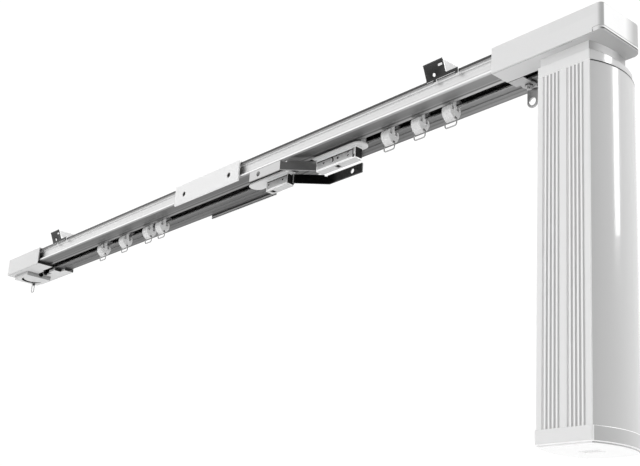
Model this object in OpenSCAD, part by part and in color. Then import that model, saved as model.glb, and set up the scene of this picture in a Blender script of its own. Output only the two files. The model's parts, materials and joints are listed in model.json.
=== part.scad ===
// Motorised curtain track for a ceiling: two aluminium extrusions joined end to end, a belt drive with a
// hanging motor at the right, a return pulley at the left, two belt-driven carriers that meet with overlap
// arms, and roller gliders that carry the curtain.
// Millimetres. +X runs along the track towards the motor, the room side is -Y, +Z is up.
// The origin lies on the ceiling, midway between the two ceiling clamps.

/* [Track] */
// Width of the extrusion over its top lips
track_w = 48; // [46:0.5:54]
// Height of the extrusion
track_h = 16.5; // [16:0.5:20]
// Length of the left extrusion
left_len = 388; // [370:1:600]
// Length of the right extrusion
right_len = 419; // [415:1:600]
// Width of the slot that the runners hang through
slot_w = 9; // [8.5:0.25:10]
// Thickness of the side walls
wall_t = 1.6; // [1.2:0.1:2]
// Thickness of the floor that the wheels run on
floor_t = 2; // [1.6:0.1:2.6]
// Thickness of the top plate
top_t = 1.5; // [1.2:0.1:2]
// Height of the top lips
lip_h = 2.9; // [2:0.1:3.4]
// How far the side faces lie behind the lips
face_recess = 3; // [2:0.1:3.4]
// Radius of the rounded lower nose
nose_r = 2; // [1.5:0.1:3]
// Width of the relieved band round the slot, on the underside
band_w = 24; // [20:0.5:30]
// Depth of the relieved band
band_d = 0.6; // [0.3:0.1:0.8]
// Thickness of the rails beside the slot and of the belt guides
rib_t = 1.2; // [0.8:0.1:1.6]
// Height of the rails above the floor
rail_h = 1.2; // [0.8:0.1:1.5]
// Drop of the belt guides below the top plate
guide_h = 4; // [3:0.1:4.2]

/* [Joiner] */
// Length of the saddle that joins the two extrusions
joiner_len = 114; // [90:1:140]
// Sheet thickness of the saddle
joiner_t = 2; // [1.5:0.1:3]
// How far the saddle's sides reach below the track
joiner_drop = 3.4; // [1:0.1:4]
// Distance between the two grub screws on one side
joiner_screw_gap = 80; // [50:1:100]
// Radius of a grub screw
grub_r = 2.6; // [1.5:0.1:2.7]

/* [Ceiling clamps] */
// Distance from the nearer housing's mouth to each clamp's screw hole
clamp_in = 46; // [30:1:120]
// Height of the clamps above the track
clamp_h = 12.5; // [8:0.5:16]
// Width of a clamp's plate along the track
clamp_w = 22; // [18:0.5:30]
// Sheet thickness of a clamp
clamp_t = 1.2; // [0.8:0.1:1.6]
// How far each wall leans out between the lip and the ceiling
clamp_lean = 5; // [2:0.5:8]
// Radius of the screw hole in the ceiling plate
clamp_hole_r = 2.25; // [1.5:0.05:3]
// How far the clamp's lip strip runs on past the plate, towards the motor
strip_past = 13; // [8:0.5:20]
// Width of the middle hook tooth
tooth_w = 3; // [2:0.5:8]
// Width of the end hook tooth
end_tooth_w = 3; // [2:0.5:5]

/* [Belt and pulleys] */
// Gap between the belt and the track's side walls
belt_side = 1.9; // [1:0.1:3]
// Number of teeth on a pulley
pulley_teeth = 32; // [24:1:40]
// Radius of a tooth gap
tooth_gap_r = 0.9; // [0.6:0.05:1]
// Thickness of a pulley's rims above and below the belt
rim_t = 0.9; // [0.6:0.1:1.2]
// Thickness of the belt
belt_t = 1.5; // [1:0.1:1.6]
// Height of the belt
belt_h = 6; // [5:0.5:6.5]
// Height of the belt's lower edge above the track's underside
belt_z = 7; // [6.8:0.1:7.5]
// Radius of the motor's output shaft
shaft_r = 4; // [3:0.1:5]
// Outer radius of the bearing that holds the output shaft
bearing_r = 8; // [7:0.1:10]
// Radius of the return pulley's axle
axle_r = 3; // [2:0.1:4]

/* [Drive housing] */
// Length of the drive housing
drive_len = 102.5; // [98:0.5:130]
// Gap between the track's lips and the walls of both housings
cover_gap = 0.3; // [0.2:0.05:0.6]
// Height of the drive housing's top above the track's underside
drive_top = 20.5; // [20:0.5:26]
// How far the drive housing's skirt reaches below the track
drive_drop = 2; // [1.6:0.1:3]
// Wall thickness of both housings
cover_t = 1.7; // [1.2:0.1:1.8]
// Radius of the drive housing's outer corners
drive_corner_r = 8; // [4:0.5:10]
// Corner radius at the drive housing's far end, on the front side
drive_front_r = 4; // [3:0.5:8]
// How far the track runs into the drive housing
drive_grip = 34.5; // [30:0.5:36]
// Distance from the drive housing's open end to the output shaft
drive_axis = 64; // [60:0.5:66]
// Radius of the housing screws' shanks
screw_r = 1.4; // [1:0.1:1.6]
// Radius of the housing screws' heads
screw_head_r = 2.4; // [2:0.1:2.6]
// Height of the housing screws' heads
screw_head_h = 1.1; // [0.8:0.1:1.3]
// Radius of the bosses that take the housing screws
boss_r = 2.6; // [2.2:0.1:2.8]

/* [Idler housing] */
// Length of the return housing
idler_len = 88.5; // [80:0.5:120]
// Height of the return housing's top above the track's underside
idler_top = 18.2; // [18.2:0.1:24]
// How far the return housing's skirt reaches below the track
idler_drop = 3.2; // [2.4:0.1:4]
// How far the track runs into the return housing
idler_grip = 17; // [12:0.5:20]
// Distance from the return housing's closed end to its axle
idler_axis = 21.5; // [20:0.5:26]
// Radius of the return housing's outer corners
idler_corner_r = 3; // [2:0.1:6]

/* [Motor] */
// Width of the motor's ribbed front
motor_front_w = 46; // [40:0.5:50]
// Width of the motor over its curved sides
motor_w = 62; // [56:0.5:66]
// Depth of the motor's curved sides
motor_side_d = 59; // [54:0.5:64]
// How far the motor's back is crowned
motor_crown = 4.5; // [3:0.5:8]
// Distance from the ribbed front to the output shaft
motor_front_y = 19.6; // [19:0.1:22]
// Height of the collar between the drive housing and the motor
collar_h = 7.4; // [5:0.1:12]
// Height of the motor's top cap
top_cap_h = 8.7; // [6:0.1:14]
// Height of the motor's ribbed body
motor_h = 269; // [220:1:320]
// Height of the motor's bottom cap
bottom_cap_h = 12; // [10:0.5:18]
// Wall thickness of the motor's body
motor_wall = 2.6; // [2:0.1:3.5]
// How far the bottom cap stands out round the body
cap_lip = 0.8; // [0.4:0.1:1.2]
// How far the top cap lies inside the body's curved sides and back
top_cap_inset = 3; // [2:0.1:4]
// Grooves in each of the two groups on the front
groove_count = 5; // [3:1:6]
// Distance between two grooves
groove_pitch = 3.35; // [3:0.05:3.6]
// Distance from the middle of the front to the first groove
groove_start = 3.9; // [3:0.1:5]
// Radius of a groove
groove_r = 0.95; // [0.6:0.05:1.2]
// Radius of the gearbox
gearbox_r = 15; // [12:0.5:15.5]
// Length of the gearbox
gearbox_h = 40; // [30:1:60]
// Radius of the motor's can
can_r = 14; // [11:0.5:14.5]
// Length of the motor's can
can_h = 82; // [60:1:110]
// Width of the control board
board_w = 38; // [30:1:40]
// Height of the control board
board_h = 112; // [80:1:130]
// Thickness of the control board
board_t = 1.6; // [1:0.1:2]

/* [End hook] */
// Distance from the track's right end to the middle of the hook plate
hook_in = 25; // [23:0.5:27]
// Width of the hook plate along the track
hook_w = 10.5; // [9:0.5:14]
// Sheet thickness of the hook
hook_t = 1.6; // [1:0.1:1.8]
// Drop of the hook's tab below the track
hook_drop = 19; // [15:0.5:26]
// Radius of the hole in the hook's tab
hook_hole_r = 3.3; // [2.5:0.1:3.6]
// Distance from the slot's middle to the hook's screw
hook_screw_y = 9.8; // [8.5:0.1:11]

/* [Carriers] */
// Place along the track where the two closed carriers meet
meet_x = 131.25; // [120:0.25:150]
// Gap between the two carriers when closed
meet_gap = 42.5; // [36:0.5:48]
// Length of a carrier's top plate
carrier_len = 65; // [62:0.5:72]
// Width of a carrier's top plate
carrier_w = 16; // [14:0.5:18]
// Thickness of the plates that run just under the track
shoulder_t = 1.8; // [1.4:0.1:2.2]
// Height of a carrier's hanger below its top plate
hanger_h = 11; // [8:0.1:13]
// Length of the hanger
hanger_len = 54.5; // [50:0.5:58]
// Sheet thickness of the hanger
hanger_t = 1.2; // [0.8:0.1:1.5]
// Outer width of the hanger
hanger_w = 8.4; // [7:0.1:10]
// Length of the tray folded along the hanger's inner part
tray_len = 33.5; // [30:0.5:36]
// Width of the hanger's foot
foot_w = 9; // [8.4:0.1:16]
// Side of the square hole in the hanger's foot
foot_hole = 5; // [4.75:0.25:7]
// Height of an overlap arm's strip
arm_h = 9.7; // [8:0.1:10]
// Thickness of an overlap arm's strip
arm_t = 1.5; // [1:0.1:2]
// Gap between the joiner's side and the overlap arm that passes it
arm_clear = 0.6; // [0.4:0.1:3]
// Length of the arm's outer run
arm_run = 47; // [36:1:54]
// Radius of the hole near the arm's tip
arm_hole_r = 2.5; // [1.5:0.1:3]
// Distance from the arm's tip to its hole
arm_hole_in = 14; // [8:0.5:20]
// How far an arm runs straight on past the hanger before it bends out
arm_out = 1; // [0.8:0.1:3]

/* [Runners] */
// Radius of the running wheels
wheel_r = 3.6; // [3:0.1:3.6]
// Width of a running wheel
wheel_w = 3; // [2:0.1:3.4]
// Radius of a wheel axle
wheel_axle_r = 1.25; // [1:0.05:1.4]
// Places of the right gliders along the track, closed
right_gliders = [247, 284, 320];
// Places of the left gliders along the track, closed
left_gliders = [-119, -146, -198, -248];
// Length of a glider along the track
glider_len = 10; // [9:0.5:12]
// Width of a glider's bowl across the track
glider_w = 13.2; // [12:0.2:15]
// Width of the post in the middle of a glider
glider_post = 3.8; // [3.4:0.1:5]
// Depth of the wells beside the post
glider_well = 3.7; // [2:0.1:4.5]
// Depth from just under the track to a glider's eye
eye_drop = 8.4; // [8:0.1:13]
// Outer radius of a glider's eye
eye_r = 2.2; // [2:0.1:3]
// Radius of the rings' wire
wire_r = 0.6; // [0.5:0.05:0.8]
// Half width of a glider's ring, between wire centres
ring_half = 6.5; // [6:0.1:8]
// Drop of a glider's ring below its eye
ring_drop = 7.4; // [7.2:0.1:10]
// Bend radius at the corners of a ring
ring_bend = 2.2; // [1.5:0.1:2.8]
// Half width of the end ring under the return housing
end_ring_half = 3.4; // [3.2:0.1:5]
// Drop of the end ring below its eye
end_ring_drop = 11; // [9:0.5:20]

/* [Clearances] */
// Gap between parts that slide or roll past each other
run_gap = 0.3; // [0.2:0.05:0.5]
// Gap round a part that sits in a pocket
seat_gap = 0.15; // [0.05:0.05:0.25]
// Gap between a pin or shaft and its bore
pin_gap = 0.08; // [0.02:0.01:0.1]
// Gap between the track's underside and what runs below it
under_gap = 0.5; // [0.3:0.1:0.8]

/* [Hidden] */
$fn = 48;
eps = 0.01;
through = 200;

// Heights. Most modules are drawn from the track's underside and then lifted to track_z.
track_z = -(clamp_h + track_h);
lip_z = track_h - lip_h;
face_y = track_w / 2 - face_recess;
inner_y = face_y - wall_t;
roof_z = track_h - top_t;
belt_out = inner_y - belt_side;
belt_in = belt_out - belt_t;
pulley_r = belt_in - run_gap;
guide_out = belt_in - 2 * run_gap - 0.4;
guide_z = roof_z - guide_h;

// Ends of the track and the housings.
left_end = -left_len;
right_end = right_len;
drive_x0 = right_end - drive_grip;
drive_x1 = drive_x0 + drive_len;
shaft_x = drive_x0 + drive_axis;
idler_x1 = left_end + idler_grip;
idler_x0 = idler_x1 - idler_len;
axle_x = idler_x0 + idler_axis;
inside_y = track_w / 2 + cover_gap;
housing_w = 2 * (inside_y + cover_t);
clamp_x = min(-idler_x1, drive_x0) - clamp_in;
deck_t = 3.4;
deck_z = deck_t - drive_drop;
roof_in = track_h + run_gap;

// Motor levels, from the top down.
collar_z = -drive_drop - collar_h;
body_top = collar_z - top_cap_h;
body_low = body_top - motor_h;
motor_low = body_low - bottom_cap_h;
bulge = (motor_w - motor_front_w) / 2;
side_half = motor_side_d / 2;
side_mid = side_half - motor_front_y;
side_r = (side_half * side_half + bulge * bulge) / (2 * bulge);
side_c = side_r - motor_w / 2;
back_half = motor_front_w / 2;
back_r = (back_half * back_half + motor_crown * motor_crown) / (2 * motor_crown);
back_c = motor_side_d - motor_front_y + motor_crown - back_r;
body_deck = 2.4;
board_y = 26;
board_stack = 14;
board_foot = 10;
board_slot = 4;
inlet_y = 12;
inlet_w = 16;
inlet_d = 10;
inlet_wall = 1.5;
inlet_h = 15;
inlet_pin_r = 1.1;
inlet_pin_gap = 3.4;

// Carriers and runners.
axle_z = floor_t + run_gap + wheel_r;
stem_w = slot_w - 2 * 1.1;
rail_out = slot_w / 2 + rib_t;
wheel_y = rail_out + 2 * run_gap;
stem_top = axle_z + wheel_axle_r + 1.8;
shoulder_z = -under_gap - shoulder_t;
foot_z = shoulder_z - hanger_h;
arm_reach = track_w / 2 + seat_gap + joiner_t + arm_clear + arm_t / 2;
arm_lap = 16;
foot_u = 18;
foot_hole_u = 27;
wheel_u = [14, carrier_len - 13];
clip_u = 28;
clip_len = 10;
clip_t = 1.4;
clip_z = belt_z - run_gap;
clip_top = guide_z - 0.5;
eye_z = shoulder_z - eye_drop;
hook_x = right_end - hook_in;
hook_y = 16;
hook_bend = 2 * hook_t;
hook_plate_w = 19;
lug_x = idler_x0 + 12.5;
lug_y = 8;
lug_half = end_ring_half - ring_bend + 0.3;
foot_h = 5.2;
block_y = belt_out;
lug_z = -idler_drop - foot_h - 1.4;
step_x = axle_x + belt_out + 5.5;

// Screw places: [x, y] of the drive housing's and the return housing's screws.
screw_y = belt_out + boss_r + 0.4;
drive_screws = [for (dy = [-1, 1]) each [[right_end + 5.5, dy * screw_y], [drive_x1 - 7, dy * 17]]];
idler_screws = [for (dy = [-1, 1]) [axle_x + belt_out + 8.5, dy * screw_y]];

right_names = ["glider_right_1", "glider_right_2", "glider_right_3"];
left_names = ["glider_left_1", "glider_left_2", "glider_left_3", "glider_left_4"];

// Placing and drawing helpers.
module on_track() {
    translate([0, 0, track_z]) children();
}

// A flat outline in Y and Z, drawn out along X.
module along_x(x0, x1) {
    translate([x0, 0, 0]) rotate([90, 0, 90]) linear_extrude(x1 - x0) children();
}

// A flat outline in X and Z, drawn out along Y.
module along_y(y0, y1) {
    translate([0, y1, 0]) rotate([90, 0, 0]) linear_extrude(y1 - y0) children();
}

module block(low, high) {
    translate(low) cube(high - low);
}

module rod_x(r, x0, x1) {
    translate([x0, 0, 0]) rotate([0, 90, 0]) cylinder(r = r, h = x1 - x0);
}

module rod_y(r, y0, y1) {
    translate([0, y0, 0]) rotate([-90, 0, 0]) cylinder(r = r, h = y1 - y0);
}

module rod_z(r, z0, z1) {
    translate([0, 0, z0]) cylinder(r = r, h = z1 - z0);
}

// A rectangle whose right-hand corners are rounded, with its left edge at x0. The front corner has its own radius.
module right_rounded(x0, x1, half_y, r, front_r) {
    translate([x0, -half_y]) square([x1 - x0 - max(r, front_r), 2 * half_y]);
    translate([x1 - max(r, front_r) - eps, -half_y + front_r])
        square([max(r, front_r) + eps, 2 * half_y - r - front_r]);
    translate([x1 - r - front_r, -half_y]) square([r, front_r + eps]);
    translate([x1 - r, half_y - r]) circle(r);
    translate([x1 - front_r, -half_y + front_r]) circle(front_r);
}

// Aluminium extrusion.
module track_section() {
    difference() {
        union() {
            translate([-track_w / 2, lip_z]) square([track_w, lip_h]);
            translate([-face_y, 0]) square([2 * face_y, track_h]);
            for (side = [-1, 1])
                translate([side * (track_w / 2 - nose_r), nose_r]) circle(nose_r);
            translate([-(track_w / 2 - nose_r), 0]) square([track_w - 2 * nose_r, nose_r]);
        }
        translate([-inner_y, floor_t]) square([2 * inner_y, roof_z - floor_t]);
        translate([-slot_w / 2, -eps]) square([slot_w, floor_t + 2 * eps]);
        translate([-band_w / 2, -eps]) square([band_w, band_d + eps]);
    }
    for (side = [-1, 1]) {
        translate([side * (slot_w / 2 + rib_t / 2) - rib_t / 2, band_d]) square([rib_t, floor_t + rail_h - band_d]);
        translate([side * (guide_out - rib_t / 2) - rib_t / 2, guide_z]) square([rib_t, guide_h + top_t / 2]);
    }
}

module track_left() {
    color("gainsboro") on_track() along_x(left_end, 0) track_section();
}

module track_right() {
    color("gainsboro") on_track() difference() {
        along_x(0, right_end) track_section();
        translate([hook_x, hook_screw_y, 0]) rod_z(screw_r + seat_gap, -1, floor_t + 1);
    }
}

// Saddle over the butt joint, held by two grub screws on each side.
module track_joiner() {
    in_y = track_w / 2 + seat_gap;
    in_z = track_h + seat_gap;
    color("white") on_track() difference() {
        along_x(-joiner_len / 2, joiner_len / 2) difference() {
            translate([-in_y - joiner_t, -joiner_drop])
                square([2 * (in_y + joiner_t), joiner_drop + in_z + joiner_t]);
            translate([-in_y, -joiner_drop - eps]) square([2 * in_y, joiner_drop + in_z + eps]);
        }
        for (x = [-1, 1])
            translate([x * joiner_screw_gap / 2, 0, lip_z / 2]) rod_y(grub_r + pin_gap, -through, through);
    }
}

module joiner_screws() {
    outer = track_w / 2 + seat_gap + joiner_t - 0.6;
    color("dimgray") on_track()
        for (x = [-1, 1], side = [-1, 1])
            translate([x * joiner_screw_gap / 2, 0, lip_z / 2]) rotate([0, 0, side * 90]) difference() {
                rod_x(grub_r, face_y, outer);
                rod_x(grub_r * 0.5, outer - 1.6, outer + 1, $fn = 6);
            }
}

// Ceiling clamp: a folded spring-steel hat whose teeth hook round the track's lips.
module clamp_half(x_c) {
    lip_y = -(track_w / 2 + seat_gap);
    top_z = track_h + clamp_h;
    hook_low = lip_z - seat_gap - clamp_t;
    right_x = x_c + clamp_w / 2 + strip_past;
    along_x(x_c - clamp_w / 2, x_c + clamp_w / 2) {
        polygon([
            [lip_y, track_h], [lip_y - clamp_t, track_h],
            [lip_y - clamp_t - clamp_lean, top_z], [lip_y - clamp_lean, top_z],
        ]);
        translate([lip_y - clamp_t - clamp_lean, top_z - clamp_t]) square([clamp_t + clamp_lean - lip_y, clamp_t]);
    }
    along_x(x_c - clamp_w / 2, right_x)
        translate([lip_y - clamp_t, lip_z + lip_h / 3]) square([clamp_t, lip_h * 2 / 3 + clamp_t]);
    for (tooth = [[x_c - tooth_w, x_c], [right_x - end_tooth_w, right_x]])
        along_x(tooth[0], tooth[1]) {
            translate([lip_y - clamp_t, hook_low]) square([clamp_t, track_h - hook_low]);
            translate([lip_y - clamp_t, hook_low]) square([face_recess * 0.6 + clamp_t, clamp_t]);
        }
}

module ceiling_clamp(x_c) {
    top_z = track_h + clamp_h;
    color("slategray") on_track() difference() {
        union() {
            clamp_half(x_c);
            mirror([0, 1, 0]) clamp_half(x_c);
        }
        translate([x_c, 0, 0]) rod_z(clamp_hole_r, track_h, top_z + 1);
        translate([x_c - tooth_w / 2, 0, track_h + clamp_h * 0.18]) rod_y(1.5, -through, through);
        for (dx = [0, 3])
            translate([x_c + clamp_w / 2 - 5.5 + dx, 0, top_z - clamp_h * 0.35]) rod_y(0.9, -through, through);
        translate([x_c + clamp_w / 2 - 5.5, -through, top_z - clamp_h * 0.35 - 0.9]) cube([3, 2 * through, 1.8]);
    }
}

module ceiling_clamp_left() {
    ceiling_clamp(-clamp_x);
}

module ceiling_clamp_right() {
    ceiling_clamp(clamp_x);
}

// Drive housing: a cover over the track's end and a base that carries the motor.
module drive_cover() {
    color("white") on_track() difference() {
        union() {
            difference() {
                translate([0, 0, -drive_drop]) linear_extrude(drive_top + drive_drop)
                    right_rounded(drive_x0, drive_x1, housing_w / 2, drive_corner_r, drive_front_r);
                translate([0, 0, -drive_drop - 1]) linear_extrude(drive_top - cover_t + drive_drop + 1)
                    right_rounded(drive_x0 + cover_t, drive_x1 - cover_t, inside_y,
                                  drive_corner_r - cover_t, drive_front_r - cover_t);
            }
        }
        // The track comes in through the open end.
        block([drive_x0 - 1, -inside_y, -drive_drop - 1], [drive_x0 + cover_t + 1, inside_y, track_h + run_gap]);
        // The base's edge shows at the far end.
        block([drive_x1 - drive_corner_r, -housing_w, -drive_drop - 1], [drive_x1 + 1, housing_w, deck_z]);
        screw_seats(drive_screws, drive_top);
    }
}

// Countersunk seats for the screws that come down through a housing's top.
module screw_seats(places, top) {
    for (p = places)
        translate([p[0], p[1], 0]) {
            rod_z(screw_r + pin_gap, top - cover_t - 1, top + 1);
            rod_z(screw_head_r + seat_gap, top - screw_head_h, top + 1);
        }
}

// Bosses that stand on a housing's base and take those screws.
module screw_bosses(places, low, high) {
    for (p = places)
        translate([p[0], p[1], 0]) difference() {
            rod_z(boss_r, low, high);
            rod_z(screw_r + pin_gap, (low + high) / 2, high + 1);
        }
}

module drive_base() {
    deck_x = right_end + 1;
    edge = inside_y - seat_gap;
    color("whitesmoke") on_track() difference() {
        union() {
            block([drive_x0, -edge, -drive_drop], [deck_x + eps, -slot_w / 2 - rib_t, -seat_gap]);
            block([deck_x, -edge, -drive_drop], [drive_x1 - drive_corner_r + 1, edge, deck_z]);
            translate([0, 0, -drive_drop]) linear_extrude(deck_t) intersection() {
                right_rounded(drive_x0, drive_x1, housing_w / 2, drive_corner_r, drive_front_r);
                translate([drive_x1 - drive_corner_r + seat_gap, -housing_w]) square([drive_len, 2 * housing_w]);
            }
            screw_bosses(drive_screws, deck_z - eps, drive_top - cover_t);
            // Collar that the motor hangs on.
            translate([shaft_x, 0, collar_z]) linear_extrude(collar_h + eps) intersection() {
                motor_outline(bulge - top_cap_inset, motor_side_d - top_cap_inset, -1.5);
                translate([-motor_w, -edge]) square([2 * motor_w, 2 * edge]);
            }
        }
        translate([shaft_x, 0, 0]) rod_z(bearing_r + pin_gap, collar_z - 1, deck_z + 1);
    }
}

module housing_screws() {
    color("silver") on_track() {
        for (p = drive_screws)
            translate([p[0], p[1], drive_top]) housing_screw((drive_top - cover_t - deck_z) / 2 + cover_t - 1);
        for (p = idler_screws)
            translate([p[0], p[1], idler_top]) housing_screw(idler_top - roof_in / 2 - 1);
    }
}

// A cross-slot screw whose head's top lies at the origin.
module housing_screw(length) {
    difference() {
        union() {
            rod_z(screw_head_r, -screw_head_h, 0);
            rod_z(screw_r, -length, 0);
        }
        for (turn = [0, 90])
            rotate([0, 0, turn]) block([-screw_head_r * 0.6, -0.3, -0.6], [screw_head_r * 0.6, 0.3, 1]);
    }
}

module shaft_bearing() {
    color("silver") on_track() translate([shaft_x, 0, 0]) difference() {
        rod_z(bearing_r, collar_z, deck_z);
        rod_z(shaft_r + pin_gap, collar_z - 1, deck_z + 1);
    }
}

// Toothed pulley with a rim above and below the belt.
module pulley(bore_r) {
    low = belt_z - run_gap;
    high = belt_z + belt_h + run_gap;
    difference() {
        union() {
            translate([0, 0, low - rim_t / 2]) linear_extrude(high - low + rim_t) difference() {
                circle(pulley_r);
                for (i = [0 : pulley_teeth - 1])
                    rotate(i * 360 / pulley_teeth) translate([pulley_r, 0]) circle(tooth_gap_r);
            }
            rod_z(belt_out, low - rim_t, low);
            rod_z(belt_out, high, high + rim_t);
        }
        rod_z(bore_r, low - rim_t - 1, high + rim_t + 1);
    }
}

module drive_pulley() {
    color("ivory") on_track() translate([shaft_x, 0, 0]) pulley(shaft_r + pin_gap);
}

module output_shaft() {
    color("silver") on_track() translate([shaft_x, 0, 0])
        rod_z(shaft_r, body_top - 8, belt_z + belt_h + run_gap + rim_t);
}

module belt_outline(r) {
    for (x = [axle_x, shaft_x])
        translate([x, 0]) circle(r);
    translate([axle_x, -r]) square([shaft_x - axle_x, 2 * r]);
}

module drive_belt() {
    color("dimgray") on_track() translate([0, 0, belt_z]) linear_extrude(belt_h) difference() {
        belt_outline(belt_out);
        belt_outline(belt_in);
    }
}

// Return housing: a cover, a base with the pulley's axle, and the end ring.
module idler_cover() {
    color("white") on_track() difference() {
        union() {
            difference() {
                translate([0, 0, -idler_drop]) linear_extrude(idler_top + idler_drop) mirror([1, 0])
                    right_rounded(-idler_x1, -idler_x0, housing_w / 2, idler_corner_r, idler_corner_r);
                translate([0, 0, -idler_drop - 1]) linear_extrude(roof_in + idler_drop + 1) mirror([1, 0])
                    right_rounded(-idler_x1 + cover_t, -idler_x0 - cover_t, inside_y,
                                  idler_corner_r - cover_t, idler_corner_r - cover_t);
            }
        }
        block([idler_x1 - cover_t - 1, -inside_y, -idler_drop - 1], [idler_x1 + 1, inside_y, roof_in]);
        screw_seats(idler_screws, idler_top);
    }
}

module idler_base() {
    edge = inside_y - seat_gap;
    low = -idler_drop;
    mouth_x = left_end + 2;
    color("whitesmoke") on_track() difference() {
        union() {
            translate([0, 0, low]) linear_extrude(-seat_gap - low) mirror([1, 0])
                right_rounded(-idler_x1, -idler_x0 - cover_t - seat_gap, edge,
                              idler_corner_r - cover_t, idler_corner_r - cover_t);
            screw_bosses(idler_screws, -seat_gap - eps, roof_in);
            // Stepped block under the pulley, with the lug that the end ring hangs from.
            block([lug_x - 5, -block_y, low - foot_h], [step_x, block_y - 1, low + eps]);
            block([lug_x - lug_half, lug_y - eye_r, lug_z], [lug_x + lug_half, lug_y + eye_r, low - foot_h + eps]);
            translate([lug_x, lug_y, lug_z]) rod_x(eye_r, -lug_half, lug_half);
        }
        // The slot stays open where the runners are threaded in.
        block([mouth_x - 12, -slot_w / 2, low - 1], [idler_x1 + 1, slot_w / 2, 1]);
        block([mouth_x + 4, slot_w / 2 - eps, low - 1], [idler_x1 + 1, slot_w / 2 + 9, 1]);
        // Round channel out of the stepped block's face, and the window behind it.
        translate([step_x - 6, 2, low]) rod_x(3.2, 0, 10);
        block([step_x + 2, -2, low - 1], [mouth_x - 12 + eps, 9, 1]);
        // Curved pocket in the block's underside.
        translate([lug_x + 12.5, -1, 0]) difference() {
            rod_z(13, low - foot_h - 1, low - foot_h + 3.6);
            translate([5.5, 0, 0]) rod_z(13, low - foot_h - 2, low);
        }
        translate([lug_x, lug_y, lug_z]) rod_x(wire_r + run_gap, -10, 10);
    }
}

module idler_axle() {
    color("silver") on_track() translate([axle_x, 0, 0]) {
        rod_z(axle_r, -seat_gap, belt_z + belt_h + run_gap + rim_t + 0.6);
        rod_z(axle_r + 2, -seat_gap, belt_z - run_gap - rim_t - run_gap);
    }
}

module idler_pulley() {
    color("ivory") on_track() translate([axle_x, 0, 0]) pulley(axle_r + pin_gap);
}

module end_ring() {
    color("silver") on_track() translate([lug_x, lug_y, lug_z])
        wire_ring(end_ring_half, end_ring_drop);
}

// A closed wire ring that hangs from a straight bar along X.
module wire_ring(half, drop) {
    b = ring_bend;
    rod_x(wire_r, -half + b, half - b);
    translate([0, 0, -drop]) rod_x(wire_r, -half + b, half - b);
    for (side = [-1, 1]) {
        translate([side * half, 0, 0]) rod_z(wire_r, -drop + b, -b);
        translate([side * (half - b), 0, -b]) wire_bend(side > 0 ? 0 : 90);
        translate([side * (half - b), 0, -drop + b]) wire_bend(side > 0 ? 270 : 180);
    }
}

// A quarter bend of the wire in the X-Z plane, from the given angle on.
module wire_bend(from) {
    rotate([90, 0, 0]) rotate([0, 0, from]) rotate_extrude(angle = 90) translate([ring_bend, 0]) circle(wire_r);
}

// Motor casing: one outline with a flat front, curved sides and a crowned back.
module motor_outline(side_bulge, depth, grow) {
    half = depth / 2;
    r = (half * half + side_bulge * side_bulge) / (2 * side_bulge);
    c = r - motor_front_w / 2 - side_bulge;
    intersection() {
        for_both_sides(c) translate([0, half - motor_front_y]) circle(r + grow);
        translate([0, depth - motor_front_y + motor_crown - back_r]) circle(back_r + grow);
        translate([-motor_w, -motor_front_y - grow]) square([2 * motor_w, 2 * motor_w]);
    }
}

// The lens where two copies of a shape, moved apart along X, overlap.
module for_both_sides(c) {
    intersection() {
        translate([-c, 0]) children();
        translate([c, 0]) children();
    }
}

module motor_section(grow) {
    motor_outline(bulge, motor_side_d, grow);
}

module motor_top_cap() {
    color("white") on_track() translate([shaft_x, 0, 0]) difference() {
        translate([0, 0, body_top]) linear_extrude(top_cap_h)
            motor_outline(bulge - top_cap_inset, motor_side_d - top_cap_inset, 0);
        rod_z(shaft_r + 1, body_top - 1, collar_z + 1);
    }
}

module motor_body() {
    cavity_h = motor_h - body_deck;
    color("white") on_track() translate([shaft_x, 0, 0]) difference() {
        translate([0, 0, body_low]) linear_extrude(motor_h) difference() {
            motor_section(0);
            for (side = [-1, 1], i = [0 : groove_count - 1])
                translate([side * (groove_start + i * groove_pitch), -motor_front_y]) circle(groove_r);
        }
        translate([0, 0, body_low - 1]) linear_extrude(cavity_h + 1) motor_section(-motor_wall);
        rod_z(gearbox_r + run_gap, body_low, body_top + 1);
    }
}

module motor_bottom_cap() {
    foot_top = body_low + board_foot;
    color("white") on_track() translate([shaft_x, 0, 0]) difference() {
        union() {
            translate([0, 0, motor_low + 1.5]) linear_extrude(bottom_cap_h - 1.5) motor_section(cap_lip);
            translate([0, 0, motor_low]) linear_extrude(1.5 + eps) motor_section(-cap_lip);
            block([-board_w / 2, board_y - 3, body_low - eps], [board_w / 2, board_y + board_t + 3, foot_top]);
        }
        block([-board_w / 2 - 1, board_y - pin_gap, foot_top - board_slot],
              [board_w / 2 + 1, board_y + board_t + pin_gap, foot_top + 1]);
        block([-inlet_w / 2 - pin_gap, inlet_y - inlet_d / 2 - pin_gap, motor_low - 1],
              [inlet_w / 2 + pin_gap, inlet_y + inlet_d / 2 + pin_gap, body_low + 1]);
    }
}

module gearbox() {
    color("darkgray") on_track() translate([shaft_x, 0, 0]) difference() {
        rod_z(gearbox_r, body_top - gearbox_h, body_top);
        rod_z(shaft_r + pin_gap, body_top - 8, body_top + 1);
    }
}

module motor_can() {
    can_top = body_top - gearbox_h;
    color("silver") on_track() translate([shaft_x, 0, 0]) {
        rod_z(can_r, can_top - can_h, can_top);
        rod_z(can_r * 0.4, can_top - can_h - 4, can_top - can_h + eps);
    }
}

// Control board with its transformer, relays and capacitors.
module control_board() {
    low = body_low + board_foot - board_slot;
    w = board_w;
    h = board_h;
    color("darkgreen") on_track() translate([shaft_x, board_y, low]) {
        block([-w / 2, 0, 0], [w / 2, board_t, h]);
        block([-w * 0.4, -board_stack, h * 0.13], [w * 0.13, eps, h * 0.36]);
        for (i = [0 : 1])
            block([w * (-0.4 + i * 0.42), -board_stack * 0.7, h * 0.45], [w * (-0.08 + i * 0.42), eps, h * 0.59]);
        for (i = [-1 : 1])
            translate([i * w * 0.26, 0, h * 0.75]) rod_y(w * 0.09, -board_stack * 0.85, eps);
    }
}

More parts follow.
